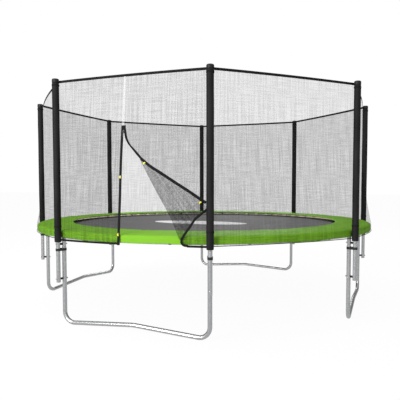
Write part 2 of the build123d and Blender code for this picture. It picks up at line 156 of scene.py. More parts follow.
def grid(name, points, material, uvs=None, wrap_u=False, wrap_v=False):
    """A quad sheet from an array of points, rows by columns."""
    points = np.asarray(points, float)
    rows, cols = points.shape[:2]
    faces = []
    for i in range(rows if wrap_u else rows - 1):
        for j in range(cols if wrap_v else cols - 1):
            a, b = i, (i + 1) % rows
            c, d = j, (j + 1) % cols
            faces.append((a * cols + c, b * cols + c, b * cols + d, a * cols + d))
    flat_uvs = None if uvs is None else np.asarray(uvs, float).reshape(-1, 2)
    return new_mesh(name, points.reshape(-1, 3), faces, material, uvs=flat_uvs)


def unit(v):
    """Scales each row to length one."""
    v = np.asarray(v, float)
    return v / np.maximum(np.linalg.norm(v, axis=-1, keepdims=True), 1e-9)


def resample(points, count):
    """Spreads a number of points evenly along a line."""
    points = np.asarray(points, float)
    steps = np.r_[0, np.cumsum(np.linalg.norm(np.diff(points, axis=0), axis=1))]
    at = np.linspace(0, steps[-1], count)
    return np.stack([np.interp(at, steps, points[:, k]) for k in range(points.shape[1])], 1)


def smooth_line(points, count):
    """A smooth curve through a few points, evenly spaced."""
    points = np.asarray(points, float)
    padded = np.vstack([2 * points[0] - points[1], points, 2 * points[-1] - points[-2]])
    out = []
    for i in range(1, len(padded) - 2):
        p0, p1, p2, p3 = padded[i - 1 : i + 3]
        for t in np.linspace(0, 1, 12, endpoint=False):
            out.append(
                0.5
                * (
                    2 * p1
                    + (p2 - p0) * t
                    + (2 * p0 - 5 * p1 + 4 * p2 - p3) * t**2
                    + (3 * p1 - p0 - 3 * p2 + p3) * t**3
                )
            )
    out.append(padded[-2])
    return resample(out, count)


def ribbon(name, centre, across, normal, width, thickness, material, closed=False):
    """A strap with rounded edges along a line: across and normal hold each section."""
    centre = np.asarray(centre, float)
    across = unit(across)
    normal = unit(normal)
    corner = thickness * 0.45
    profile = [
        (-width / 2 + corner, -thickness / 2),
        (0, -thickness / 2),
        (width / 2 - corner, -thickness / 2),
        (width / 2, 0),
        (width / 2 - corner, thickness / 2),
        (0, thickness / 2),
        (-width / 2 + corner, thickness / 2),
        (-width / 2, 0),
    ]
    rings = np.stack([centre + across * a + normal * b for a, b in profile], axis=1)
    piece = grid(name, rings, material, wrap_u=closed, wrap_v=True)
    if not closed:
        cap_ends(piece, len(centre), len(profile))
    return piece


def add_faces(piece, extra, smooth=True):
    """Adds faces between points that a mesh already has."""
    mesh = piece.data
    verts = [tuple(v.co) for v in mesh.vertices]
    faces = [tuple(p.vertices) for p in mesh.polygons] + extra
    mesh.clear_geometry()
    mesh.from_pydata(verts, [], faces)
    if smooth:
        mesh.polygons.foreach_set("use_smooth", [True] * len(mesh.polygons))
    mesh.update()


def cap_ends(piece, rows, cols):
    """Closes the first and last ring of a tube made by grid()."""
    first = tuple(range(cols))
    last = tuple((rows - 1) * cols + j for j in reversed(range(cols)))
    add_faces(piece, [first, last])


def wire_rings(line, radius, around):
    """Rings of points round a line, without twist, for a wire."""
    line = np.asarray(line, float)
    tangent = unit(np.gradient(line, axis=0))
    side = np.cross(tangent[0], (0.0, 0.0, 1.0))
    if np.linalg.norm(side) < 1e-3:
        side = np.cross(tangent[0], (0.0, 1.0, 0.0))
    side = unit(side)
    rings = []
    for point, along in zip(line, tangent):
        side = unit(side - along * np.dot(side, along))
        up = np.cross(along, side)
        turns = np.linspace(0, 2 * math.pi, around, endpoint=False)
        rings.append([point + radius * (math.cos(t) * side + math.sin(t) * up) for t in turns])
    return np.array(rings)


# ---------------------------------------------------------------- materials
def material(name, colour, roughness=0.6, metallic=0.0):
    """A new node material with its Principled shader."""
    mat = bpy.data.materials.new(name)
    mat.use_nodes = True
    shader = mat.node_tree.nodes["Principled BSDF"]
    shader.inputs["Base Color"].default_value = (*colour, 1)
    shader.inputs["Roughness"].default_value = roughness
    shader.inputs["Metallic"].default_value = metallic
    return mat, mat.node_tree, shader


def node(tree, kind, **values):
    """Adds one node and sets its inputs by name."""
    made = tree.nodes.new(kind)
    for key, value in values.items():
        if key in made.inputs:
            made.inputs[key].default_value = value
        else:
            setattr(made, key, value)
    return made


def link(tree, source, output, target, socket):
    """Joins one node's output to another's input."""
    tree.links.new(source.outputs[output], target.inputs[socket])


def vary_colour(tree, shader, factor_node, factor_output, dark, light):
    """Colours a surface between two shades by a factor."""
    ramp = node(tree, "ShaderNodeValToRGB")
    ramp.color_ramp.elements[0].color = (*dark, 1)
    ramp.color_ramp.elements[1].color = (*light, 1)
    ramp.color_ramp.elements[0].position = 0.3
    ramp.color_ramp.elements[1].position = 0.7
    link(tree, factor_node, factor_output, ramp, "Fac")
    link(tree, ramp, "Color", shader, "Base Color")


def add_bump(tree, shader, source, output, strength, distance):
    """Roughens a surface by a height."""
    bump = node(tree, "ShaderNodeBump", Strength=strength, Distance=distance)
    link(tree, source, output, bump, "Height")
    link(tree, bump, "Normal", shader, "Normal")


def object_noise(tree, scale, detail=3.0, stretch=(1, 1, 1)):
    """Noise fixed to the object's own coordinates."""
    place = node(tree, "ShaderNodeTexCoord")
    mapping = node(tree, "ShaderNodeMapping", Scale=stretch)
    noise = node(tree, "ShaderNodeTexNoise", Scale=scale, Detail=detail)
    link(tree, place, "Object", mapping, "Vector")
    link(tree, mapping, "Vector", noise, "Vector")
    return noise


def galvanised_steel():
    """Zinc-coated tube: soft spangle, a little rough."""
    mat, tree, shader = material("galvanised", (0.70, 0.71, 0.72), 0.24, 0.9)
    noise = object_noise(tree, 45, 3)
    vary_colour(tree, shader, noise, "Fac", (0.62, 0.63, 0.64), (0.74, 0.75, 0.76))
    rough = node(tree, "ShaderNodeMapRange")
    rough.inputs["To Min"].default_value = 0.20
    rough.inputs["To Max"].default_value = 0.30
    link(tree, noise, "Fac", rough, "Value")
    link(tree, rough, "Result", shader, "Roughness")
    add_bump(tree, shader, noise, "Fac", 0.03, 0.0003)
    return mat


def plated_wire(name, colour, roughness, metallic=0.7):
    """Bright or yellow zinc on springs, rings, bolts and nuts."""
    mat, tree, shader = material(name, colour, roughness, metallic)
    noise = object_noise(tree, 220, 2)
    dark = tuple(c * 0.8 for c in colour)
    vary_colour(tree, shader, noise, "Fac", dark, colour)
    add_bump(tree, shader, noise, "Fac", 0.1, 0.0002)
    return mat


def foam_vinyl():
    """The grained black skin of the foam sleeves."""
    mat, tree, shader = material("sleeve_vinyl", (0.015, 0.015, 0.015), 0.6)
    shader.inputs["Specular IOR Level"].default_value = 0.12
    noise = object_noise(tree, 14, 5, (1, 1, 0.35))
    vary_colour(tree, shader, noise, "Fac", (0.013, 0.013, 0.013), (0.021, 0.021, 0.021))
    grain = object_noise(tree, 420, 2)
    add_bump(tree, shader, grain, "Fac", 0.25, 0.0006)
    return mat


def black_plastic():
    """Moulded caps and spacers."""
    mat, tree, shader = material("moulded_black", (0.025, 0.025, 0.026), 0.5)
    shader.inputs["Specular IOR Level"].default_value = 0.3
    noise = object_noise(tree, 300, 2)
    vary_colour(tree, shader, noise, "Fac", (0.012, 0.012, 0.012), (0.024, 0.024, 0.024))
    add_bump(tree, shader, noise, "Fac", 0.2, 0.0003)
    return mat


def webbing(name, shade):
    """Woven strap: fine diagonal ribs."""
    mat, tree, shader = material(name, (shade,) * 3, 0.8)
    shader.inputs["Specular IOR Level"].default_value = 0.2
    place = node(tree, "ShaderNodeTexCoord")
    wave = node(tree, "ShaderNodeTexWave", Scale=260.0, Distortion=1.5)
    wave.bands_direction = "DIAGONAL"
    link(tree, place, "Object", wave, "Vector")
    vary_colour(tree, shader, wave, "Fac", (shade * 0.7,) * 3, (shade * 1.3,) * 3)
    add_bump(tree, shader, wave, "Fac", 0.4, 0.0006)
    return mat


def pad_vinyl():
    """Lime-green coated vinyl: soft creases, a fine cloth grain and slight colour drift."""
    mat, tree, shader = material("pad_vinyl", (0.26, 0.60, 0.035), 0.55)
    shader.inputs["Specular IOR Level"].default_value = 0.18
    broad = object_noise(tree, 2.2, 3)
    vary_colour(tree, shader, broad, "Fac", (0.200, 0.490, 0.018), (0.235, 0.555, 0.026))
    crease = object_noise(tree, 9.0, 6, (1, 1, 2.0))
    grain = object_noise(tree, 500, 1)
    mixed = node(tree, "ShaderNodeMath", operation="MULTIPLY_ADD")
    mixed.inputs[1].default_value = 0.05
    link(tree, grain, "Fac", mixed, 0)
    link(tree, crease, "Fac", mixed, 2)
    add_bump(tree, shader, mixed, "Value", 0.35, 0.012)
    return mat


def pad_lining():
    """The pale woven backing under the pad."""
    mat, tree, shader = material("pad_lining", (0.78, 0.76, 0.70), 0.8)
    noise = object_noise(tree, 260, 2)
    vary_colour(tree, shader, noise, "Fac", (0.80, 0.78, 0.72), (0.90, 0.88, 0.82))
    add_bump(tree, shader, noise, "Fac", 0.2, 0.0005)
    return mat


def mat_weave():
    """Woven black polypropylene, painted mid grey: its base colours are a painted sheen, the grey it looks
    in daylight.
    """
    # Painted sheen: the mid grey base colours stand in for the daylight sheen on the black weave.
    mat, tree, shader = material("mat_weave", (0.165, 0.163, 0.163), 0.6)
    place = node(tree, "ShaderNodeTexCoord")
    checks = node(tree, "ShaderNodeTexBrick", Scale=170.0)
    checks.offset = 0.5
    checks.inputs["Color1"].default_value = (0.178, 0.176, 0.176, 1)
    checks.inputs["Color2"].default_value = (0.153, 0.152, 0.153, 1)
    checks.inputs["Mortar"].default_value = (0.130, 0.130, 0.131, 1)
    checks.inputs["Mortar Size"].default_value = 0.03
    link(tree, place, "Object", checks, "Vector")
    drift = object_noise(tree, 1.6, 3)
    tint = node(tree, "ShaderNodeMixRGB", blend_type="MULTIPLY")
    tint.inputs["Fac"].default_value = 0.25
    link(tree, checks, "Color", tint, "Color1")
    link(tree, drift, "Fac", tint, "Color2")
    link(tree, tint, "Color", shader, "Base Color")
    add_bump(tree, shader, checks, "Fac", 0.3, 0.0008)
    return mat


def printed_white():
    """The plain white print on the mat."""
    mat, tree, shader = material("mat_print", (0.85, 0.85, 0.85), 0.6)
    noise = object_noise(tree, 160, 3)
    vary_colour(tree, shader, noise, "Fac", (0.90, 0.90, 0.90), (0.97, 0.97, 0.97))
    add_bump(tree, shader, noise, "Fac", 0.2, 0.0005)
    return mat


def net_mesh(name, cover, shade=0.012):
    """Fine mesh: see-through, with streaks where its threads bunch up."""
    mat, tree, shader = material(name, (shade,) * 3, 0.9)
    shader.inputs["Specular IOR Level"].default_value = 0.0
    surface = node(tree, "ShaderNodeUVMap", uv_map="cloth")
    total = None
    for stretch, weight in (((95, 3.0, 1), 0.9), ((6.0, 95, 1), 0.6), ((150, 150, 1), 1.5)):
        mapping = node(tree, "ShaderNodeMapping", Scale=stretch)
        noise = node(tree, "ShaderNodeTexNoise", Scale=1.0, Detail=0.0)
        link(tree, surface, "UV", mapping, "Vector")
        link(tree, mapping, "Vector", noise, "Vector")
        add = node(tree, "ShaderNodeMath", operation="MULTIPLY_ADD")
        link(tree, noise, "Fac", add, 0)
        add.inputs[1].default_value = weight
        if total is None:
            add.inputs[2].default_value = 0.0
        else:
            link(tree, total, "Value", add, 2)
        total = add
    alpha = node(tree, "ShaderNodeMapRange", clamp=True)
    alpha.inputs["From Min"].default_value = 1.1
    alpha.inputs["From Max"].default_value = 1.9
    alpha.inputs["To Min"].default_value = cover * 0.40
    alpha.inputs["To Max"].default_value = cover * 1.60
    link(tree, total, "Value", alpha, "Value")
    link(tree, alpha, "Result", shader, "Alpha")
    return mat


def clip_plastic():
    """Glossy yellow clips."""
    mat, tree, shader = material("clip_yellow", (0.88, 0.76, 0.01), 0.3)
    noise = object_noise(tree, 90, 2)
    vary_colour(tree, shader, noise, "Fac", (0.80, 0.68, 0.01), (0.92, 0.80, 0.02))
    return mat


GALVANISED = galvanised_steel()
YELLOW_ZINC = plated_wire("spring_zinc", (1.0, 0.90, 0.66), 0.45, 0.15)
BRIGHT_ZINC = plated_wire("bolt_zinc", (0.72, 0.72, 0.73), 0.28)
BLACK_METAL = plated_wire("zip_metal", (0.06, 0.06, 0.065), 0.35)
FOAM = foam_vinyl()
PLASTIC = black_plastic()
WEBBING = webbing("black_webbing", 0.009)
CLAMP = webbing("clamp_band", 0.035)
PAD = pad_vinyl()
LINING = pad_lining()
# The mat's mid grey is a painted sheen over black weave.
WEAVE_PAINTED_SHEEN = mat_weave()
PRINT = printed_white()
NET_SIDES = net_mesh("net_mesh_sides", 0.245)
NET_FRONT = net_mesh("net_mesh_front", 0.285)
NET_FLAP = net_mesh("net_mesh_flap", 0.36)
# The seam's pale colour (0.80) is a painted highlight.
NET_SEAM_PAINTED_HIGHLIGHT = net_mesh("net_seam_painted_highlight", 0.45, 0.80)
CLIP = clip_plastic()


# ---------------------------------------------------------------- places on the net
def top_depth(x):
    """How far out the net's top edge stands along its side."""
    return NET_FLAT + NET_BOW * (1 - (x / NET_HALF) ** 2)


def net_depth(x, z, flare=1.0):
    """How far out the net stands: from its top edge to the pad's rim, then straight down."""
    foot = math.sqrt(max(NET_R**2 - x**2, 0))
    share = min(max((NET_TOP - z) / (NET_TOP - PAD_TOP), 0), 1) ** flare
    return top_depth(x) + share * (foot - top_depth(x))


def on_side(angle, x, z, out=0.0):
    """A point of the net on one side, standing out a little."""
    flare = 1.0 if angle == SIDE_ANGLES[0] else SIDE_FLARE
    depth = net_depth(x, z, flare) + out
    return (
        math.cos(angle) * depth - math.sin(angle) * x,
        math.sin(angle) * depth + math.cos(angle) * x,
        z,
    )


def front(x, z, out=0.0):
    """A point on the front side of the net."""
    return on_side(SIDE_ANGLES[0], x, z, out)


def ripple(x, z):
    """Soft upright folds in the net, none at the hems and poles."""
    edge = 1 - (x / NET_HALF) ** 2
    middle = math.sin(math.pi * min(max((z - PAD_TOP) / (NET_TOP - PAD_TOP), 0), 1))
    return 0.004 * edge * middle * math.sin(9.0 * x + 2.0 * z)


def hem_height(x):
    """The bottom hem's middle: a little higher between two poles."""
    return HEM_POLE + (HEM_MIDDLE - HEM_POLE) * (1 - (x / NET_HALF) ** 2)


# ---------------------------------------------------------------- net
def side_rows(angle, xs, bottom_of, top_of, rows=34):
    """Points of a stretch of net between a lower and an upper edge."""
    points, uvs = [], []
    for x in xs:
        low, high = bottom_of(x), top_of(x)
        zs = [low + (high - low) * k / (rows - 1) for k in range(rows)]
        points.append([on_side(angle, x, z, ripple(x, z)) for z in zs])
        uvs.append([(x + angle * 3, z) for z in zs])
    return points, uvs


def side_net():
    """The seven plain sides in one sheet."""
    points, uvs = [], []
    for angle in SIDE_ANGLES[1:]:
        xs = np.linspace(-NET_HALF, NET_HALF, 25)
        p, u = side_rows(angle, xs, hem_height, lambda x: NET_EDGE)
        points += p if not points else p[1:]
        uvs += u if not uvs else u[1:]
    piece = grid("net_sides", points, NET_SIDES, uvs=uvs)
    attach(piece, "frame")
    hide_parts("net_side_panels")


def slit_x(z):
    """The slit's left edge, which bows a little."""
    share = min(max((SLIT_TOP - z) / (SLIT_TOP - HEM_POLE), 0), 1)
    return SLIT_EDGE - SLIT_SAG * math.sin(math.pi * min(share * 1.6, 1))


def fold_x(z):
    """The doorway's right edge, which is the fold."""
    line = smooth_line(FOLD_EDGE + [HEM_CORNER[2]], 80)
    return float(np.interp(z, line[::-1, 1], line[::-1, 0]))


def sheet_between(name, left_of, right_of, columns=20, rows=60):
    """A part of the front side between a left and a right edge, by height."""
    points, uvs = [], []
    for j in range(rows):
        level = j / (rows - 1)
        row, row_uv = [], []
        for i in range(columns):
            z = HEM_POLE + (NET_EDGE - HEM_POLE) * level
            x = left_of(z) + (right_of(z) - left_of(z)) * i / (columns - 1)
            z += (hem_height(x) - HEM_POLE) * max(0, 1 - level * 12)
            row.append(front(x, z, ripple(x, z)))
            row_uv.append((x, z))
        points.append(row)
        uvs.append(row_uv)
    return grid(name, points, NET_FRONT, uvs=uvs)


def front_net():
    """The two parts of the front side beside the doorway."""
    left = sheet_between(
        "net_front_left_mesh",
        lambda z: -NET_HALF,
        lambda z: SEAM_X if z > SLIT_TOP else slit_x(z),
    )
    right = sheet_between(
        "net_front_right_mesh",
        lambda z: SEAM_X if z > SLIT_TOP - 0.015 else fold_x(z),
        lambda z: NET_HALF,
    )
    for piece, cad, width in (
        (left, "net_front_left", NET_HALF + SEAM_X),
        (right, "net_front_right", NET_HALF - SEAM_X),
    ):
        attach(piece, "frame")
        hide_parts(cad)


def hem_frames(angle, xs, zs, out):
    """Centre, up and outward directions of a hem along one side."""
    centre = np.array([on_side(angle, x, z, out) for x, z in zip(xs, zs)])
    along = unit(np.gradient(centre, axis=0))
    outward = np.cross(along, (0.0, 0.0, 1.0))
    return centre, np.cross(outward, along), outward


def top_hem():
    """The webbing round the net's top."""
    centres, ups, outs = [], [], []
    for angle in SIDE_ANGLES:
        xs = np.linspace(-NET_HALF, NET_HALF, 21)[:-1]
        c, u, o = hem_frames(angle, xs, [NET_TOP - TOP_HEM_WIDTH / 2] * len(xs), 0.0)
        centres.append(c)
        ups.append(u)
        outs.append(o)
    piece = ribbon(
        "net_top_webbing",
        np.vstack(centres),
        np.vstack(ups),
        np.vstack(outs),
        TOP_HEM_WIDTH,
        TAPE_THICK,
        WEBBING,
        closed=True,
    )
    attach(piece, "frame")
    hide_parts("net_top_hem")


def bottom_hem():
    """The bottom edge: wide webbing beside the doorway and a thin cord elsewhere."""
    slit_foot = slit_x(HEM_POLE) + 0.010
    wide_runs = [np.linspace(-NET_HALF, slit_foot, 24), np.linspace(0.535, NET_HALF + 0.01, 14)]
    for k, xs in enumerate(wide_runs):
        c, u, o = hem_frames(SIDE_ANGLES[0], xs, [hem_height(x) for x in xs], 0.002)
        piece = ribbon(f"net_bottom_webbing_{k + 1}", c, u, o, BOTTOM_HEM_WIDTH, TAPE_THICK, WEBBING)
        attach(piece, "frame")
        if k == 0:
            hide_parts("net_bottom_hem")
    for k, angle in enumerate(SIDE_ANGLES[1:]):
        xs = np.linspace(-NET_HALF, NET_HALF, 40)
        c, u, o = hem_frames(angle, xs, [hem_height(x) + 0.004 for x in xs], 0.001)
        piece = ribbon(f"net_bottom_cord_{k + 1}", c, u, o, CORD_WIDTH, CORD_THICK, WEBBING)
        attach(piece, "frame")


# ---------------------------------------------------------------- doorway
def tape_on_front(name, line, out, width, count, twist=None, lean=0.0):
    """A zip tape or hem that follows a line of x and z on the front side."""
    path = smooth_line(line, count)
    # The tape lies closer to the net as it passes behind the pole on the right.
    tuck = [min(max((0.70 - x) / 0.06, 0), 1) for x, z in path]
    away = [out * t + lean * max(PAD_TOP - z, 0) for (x, z), t in zip(path, tuck)]
    centre = np.array([front(x, z, o) for (x, z), o in zip(path, away)])
    along = unit(np.gradient(centre, axis=0))
    outward = np.tile((0.0, -1.0, 0.0), (count, 1))
    across = unit(np.cross(along, outward))
    outward = np.cross(across, along)
    if twist is not None:
        turn = np.array([twist(t) for t in np.linspace(0, 1, count)])[:, None]
        across, outward = (
            across * np.cos(turn) + outward * np.sin(turn),
            outward * np.cos(turn) - across * np.sin(turn),
        )
    return ribbon(name, centre, across, outward, width, TAPE_THICK, WEBBING)


def bend_with_fold(piece):
    """Bakes a piece's placement into its mesh."""
    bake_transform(piece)


def flap_net():
    """The flap's mesh between the fold and the free edges, just outside the net."""
    rows, columns = 46, 18
    fold = smooth_line(FOLD_EDGE[FLAP_START:] + [HEM_CORNER[0]], rows)
    free = smooth_line(FREE_EDGE[FLAP_START:] + FLAP_HEM, rows)
    points, uvs = [], []
    for i in range(rows):
        row, row_uv = [], []
        for j in range(columns):
            t = j / (columns - 1)
            x = fold[i, 0] + (free[i, 0] - fold[i, 0]) * t
            z = fold[i, 1] + (free[i, 1] - fold[i, 1]) * t
            lift = 0.004 + 0.014 * math.sin(math.pi * min(t * 1.2, 1)) * math.sin(math.pi * i / rows)
            row.append(front(x, z, lift + 0.003 * math.sin(22 * t + 0.35 * i)))
            row_uv.append((x * 0.8 + z * 0.6, z * 0.8 - x * 0.6))
        points.append(row)
        uvs.append(row_uv)
    piece = grid("door_flap_mesh", points, NET_FLAP, uvs=uvs)
    bend_with_fold(piece)
    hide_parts("door_flap")


def door_seam():
    """The seam above the slit, where the two parts of the front net meet, drawn pale as a painted highlight.
    """
    zs = np.linspace(SLIT_TOP - 0.01, NET_TOP - 0.02, 12)
    half = SEAM_WIDTH / 2
    points = [[front(SEAM_X + x, z, 0.002) for x in (-half, 0.0, half)] for z in zs]
    uvs = [[(x, z) for x in (-half, 0.0, half)] for z in zs]
    # Painted highlight: the seam's pale mesh stands in for a light line along it.
    piece = grid("net_door_seam", points, NET_SEAM_PAINTED_HIGHLIGHT, uvs=uvs)
    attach(piece, "frame")


def fixed_tapes():
    """The sewn stop, the zip tape beside the slit and the bare edge above the flap."""
    stop = tape_on_front(
        "zip_stop", [(SLIT_X - 0.003, SLIT_TOP + 0.004), (SLIT_X - 0.003, SLIT_TOP - 0.044)], 0.004, 0.042, 6
    )
    fixed = tape_on_front(
        "zip_tape_fixed",
        [(slit_x(z), z) for z in np.linspace(1.715, HEM_POLE, 10)],
        0.003,
        TAPE_WIDTH,
        60,
        lean=SLIT_LEAN,
    )
    for piece in (stop, fixed):
        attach(piece, "frame")
    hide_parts("zip_tape_left")
    upper = tape_on_front(
        "zip_tape_upper",
        FREE_EDGE[: FLAP_START + 1],
        0.004,
        0.019,
        30,
        twist=lambda t: 1.1 * math.sin(math.pi * t) ** 1.5,
    )
    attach(upper, "frame")


def flap_tapes():
    """The zip tape and hem on the flap, and the hem's corner that stays."""
    free = tape_on_front("zip_tape_free", FREE_EDGE[FLAP_START:], 0.010, TAPE_WIDTH, 44)
    hem = tape_on_front("flap_hem", FLAP_HEM, 0.008, 0.020, 40)
    corner = tape_on_front("hem_corner", HEM_CORNER, 0.005, 0.019, 20)
    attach(corner, "frame")
    for piece in (free, hem):
        bend_with_fold(piece)
    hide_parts("zip_tape_flap")


# ---------------------------------------------------------------- pad
def pad_profile():
    """The pad's section as radius and height, closed: a puffed top and a hanging skirt."""
    outer = PAD_OUT - 0.002
    points = [
        (PAD_IN + 0.140, PAD_UNDER + 0.002),
        (PAD_IN + 0.060, PAD_UNDER + 0.011),
        (PAD_IN + 0.004, PAD_UNDER + 0.017),
        (PAD_IN, PAD_UNDER + 0.021),
        (PAD_IN + 0.003, PAD_TOP + 0.006),
        (PAD_IN + 0.012, PAD_TOP + 0.009),
    ]
    for t in np.linspace(0.08, 0.9, 9):
        radius = PAD_IN + (outer - PAD_IN) * t
        points.append((radius, PAD_TOP + 0.009 * (1 - t) + 0.004 * math.sin(math.pi * t)))
    points += [
        (outer - 0.020, PAD_TOP - 0.001),
        (outer - 0.008, PAD_TOP - 0.005),
        (outer - 0.001, PAD_TOP - 0.013),
        (outer, PAD_TOP - 0.024),
        (outer, (PAD_TOP + SKIRT_LOW) / 2 - 0.006),
        (outer - 0.0005, SKIRT_LOW + 0.004),
        (outer - 0.002, SKIRT_LOW),
        (outer - 0.0035, SKIRT_LOW + 0.003),
        (outer - 0.004, PAD_UNDER - 0.004),
        (outer - 0.010, PAD_UNDER),
    ]
    return points


def pad_ring():
    """The padded cover as one ring with sewn joins, soft dents and a wavy skirt."""
    random.seed(4)
    waves = [(random.uniform(0, 6.28), k, 0.0024 / (1 + k / 30)) for k in (13, 22, 37, 51, 68)]
    profile = pad_profile()
    around = 384
    rings = []
    for i in range(around):
        angle = 2 * math.pi * i / around
        seam = min(abs((angle * 16 / (2 * math.pi) + 0.5) % 1 - 0.5) * 2, 1)
        groove = 0.0035 * math.exp(-((seam / 0.035) ** 2))
        wave = sum(a * math.sin(k * angle + p) for p, k, a in waves)
        ring = []
        for radius, height in profile:
            high = max(0, (height - PAD_UNDER) / (PAD_TOP - PAD_UNDER))
            low = max(0, 1 - (height - SKIRT_LOW) / (PAD_UNDER - SKIRT_LOW)) if radius > 1.8 else 0
            r = radius - 0.001 * low * math.sin(23 * angle) - groove * 0.3 * high
            z = height + high * (0.35 * wave - groove) + low * wave * 1.3
            ring.append((r * math.cos(angle), r * math.sin(angle), z))
        rings.append(ring)
    piece = grid("spring_pad", rings, PAD, wrap_u=True, wrap_v=True)
    piece.data.materials.append(LINING)
    # The faces on the underside, by their place in the profile.
    lining = {0, 1, len(profile) - 3, len(profile) - 2, len(profile) - 1}
    for face in piece.data.polygons:
        face.material_index = 1 if face.index % len(profile) in lining else 0
    add_subdivision(piece, 1)
    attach(piece, "frame")
    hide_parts("pad_cover", "pad_foam")


def add_subdivision(piece, levels):
    """A render-level smoothing."""
    modifier = piece.modifiers.new("smooth", "SUBSURF")
    modifier.levels = levels
    modifier.render_levels = levels


# ---------------------------------------------------------------- mat
def mat_surface(radius):
    """The mat's top: nearly flat, with a slight dip in the middle."""
    return MAT_Z - 0.006 * (1 - (radius / MAT_R) ** 2)


def jumping_mat():
    """The woven bed with its turned and stitched edge."""
    radii = list(np.linspace(0.02, MAT_R - 0.075, 24))
    radii += [MAT_R - 0.068, MAT_R - 0.066, MAT_R - 0.04, MAT_R - 0.012, MAT_R - 0.010, MAT_R]
    stitches = (24, 28)
    rings = []
    around = 160
    for k, radius in enumerate(radii):
        height = mat_surface(radius)
        if k in stitches:
            height -= 0.0012
        rings.append((radius, height))
    rings.append((MAT_R, MAT_Z - 0.0024))
    rings += [(radius, mat_surface(radius) - 0.0024) for radius in reversed(radii[:24:3])]
    points = [
        [(r * math.cos(a), r * math.sin(a), z) for r, z in rings]
        for a in np.linspace(0, 2 * math.pi, around, endpoint=False)
    ]
    piece = grid("woven_mat", points, WEAVE_PAINTED_SHEEN, wrap_u=True)
    close_hub(piece, around, len(rings))
    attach(piece, "mat")
    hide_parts("jumping_mat")


def close_hub(piece, around, rings):
    """Closes the small hole in the middle of a disc, above and below."""
    above = tuple(i * rings for i in range(around))
    below = tuple(i * rings + rings - 1 for i in reversed(range(around)))
    add_faces(piece, [above, below])


# The printed oval: its middle and its two half sizes.
PRINT_CENTRE = (-0.065, 0.006)
PRINT_LENGTH = 0.57
PRINT_WIDTH = 0.22


def mat_print():
    """A plain white oval printed on the mat."""
    count, rings = 64, 4
    points = []
    for i in range(count):
        t = 2 * math.pi * i / count
        row = []
        for k in range(rings):
            share = 0.05 + 0.95 * k / (rings - 1)
            x = PRINT_CENTRE[0] + share * PRINT_LENGTH * math.cos(t)
            y = PRINT_CENTRE[1] + share * PRINT_WIDTH * math.sin(t)
            row.append((x, y, mat_surface(math.hypot(x, y)) + 0.0008))
        row.append((row[-1][0], row[-1][1], row[-1][2] - 0.0016))
        points.append(row)
    piece = grid("mat_print", points, PRINT, wrap_u=True)
    add_faces(piece, [tuple(i * (rings + 1) for i in range(count))], smooth=False)
    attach(piece, "mat")


# ---------------------------------------------------------------- springs
def spring_line():
    """The wire's path along +X: hook, coil and hook."""
    coil_in, coil_out, coil_r, axis_z = 1.674, 1.776, 0.0099, 0.806
    hook_x, hook_z = 1.656, 0.8015
    turns = int((coil_out - coil_in) / (2 * WIRE_R + 0.0003))
    hook = axis_z - hook_z
    line = []
    for t in np.linspace(-math.pi / 2, math.pi / 2, 7):
        line.append((hook_x - hook * math.cos(t), 0.0, hook_z + hook * math.sin(t)))
    line += [(1.662, 0.0, axis_z), (1.668, 0.0, axis_z), (coil_in - 0.002, 0.002, axis_z + 0.004)]
    steps = turns * 9
    for i in range(steps + 1):
        t = 2 * math.pi * turns * i / steps
        x = coil_in + (coil_out - coil_in) * i / steps
        line.append((x, coil_r * math.sin(t), axis_z + coil_r * math.cos(t)))
    line += [(coil_out + 0.003, 0.002, axis_z + 0.004), (1.784, 0.0, axis_z), (1.792, 0.0, axis_z)]
    line += [(1.7965, 0.0, axis_z - 0.0015), (1.7995, 0.0, axis_z - 0.0045), (1.8035, 0.0, 0.7975)]
    return line


def springs():
    """Seventy-two coil springs between the rail and the mat."""
    rings = wire_rings(spring_line(), WIRE_R, 6)
    for k in range(SPRINGS):
        angle = 2 * math.pi * k / SPRINGS
        turn = np.array(
            [
                [math.cos(angle), -math.sin(angle), 0],
                [math.sin(angle), math.cos(angle), 0],
                [0, 0, 1],
            ]
        )
        piece = grid(f"spring_{k + 1}", rings @ turn.T, YELLOW_ZINC, wrap_v=True)
        cap_ends(piece, rings.shape[0], rings.shape[1])
        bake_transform(piece)
        if k == 0:
            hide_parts("springs")


# ---------------------------------------------------------------- poles
def foam_sleeve(index, angle):
    """One foam sleeve: a soft tube with faint dents, a seam and rounded ends."""
    random.seed(20 + index)
    low, high = foam_low[2], foam_high[2]
    around, rows = 28, 70
    phase = [random.uniform(0, 6.28) for _ in range(4)]
    centre = (POLE_R * math.cos(angle), POLE_R * math.sin(angle))
    bore = 0.0187
    rings = [(bore, low + 0.002)]
    rings += [(FOAM_R * 0.93, low), (FOAM_R * 0.985, low + 0.006)]
    for k in range(1, rows):
        rings.append((FOAM_R, low + 0.006 + (high - low - 0.012) * k / rows))
    rings += [(FOAM_R * 0.985, high - 0.004), (FOAM_R * 0.93, high), (bore, high - 0.001)]
    points = []
    for radius, z in rings:
        row = []
        for j in range(around):
            t = 2 * math.pi * j / around
            dent = 0.0006 * math.sin(3 * t + 5.1 * z + phase[0]) + 0.0005 * math.sin(
                2 * t - 11 * z + phase[1]
            )
            pinch = 0.0010 * math.exp(-(((t - phase[2]) % 6.2832 - 0.2) ** 2) * 40)
            r = radius - (abs(dent) + pinch if radius > bore else 0)
            row.append((centre[0] + r * math.cos(t), centre[1] + r * math.sin(t), z))
        points.append(row)
    piece = grid(f"foam_cover_{index}", points, FOAM, wrap_v=True)
    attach(piece, "frame")
    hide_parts(f"foam_sleeve_{index}")


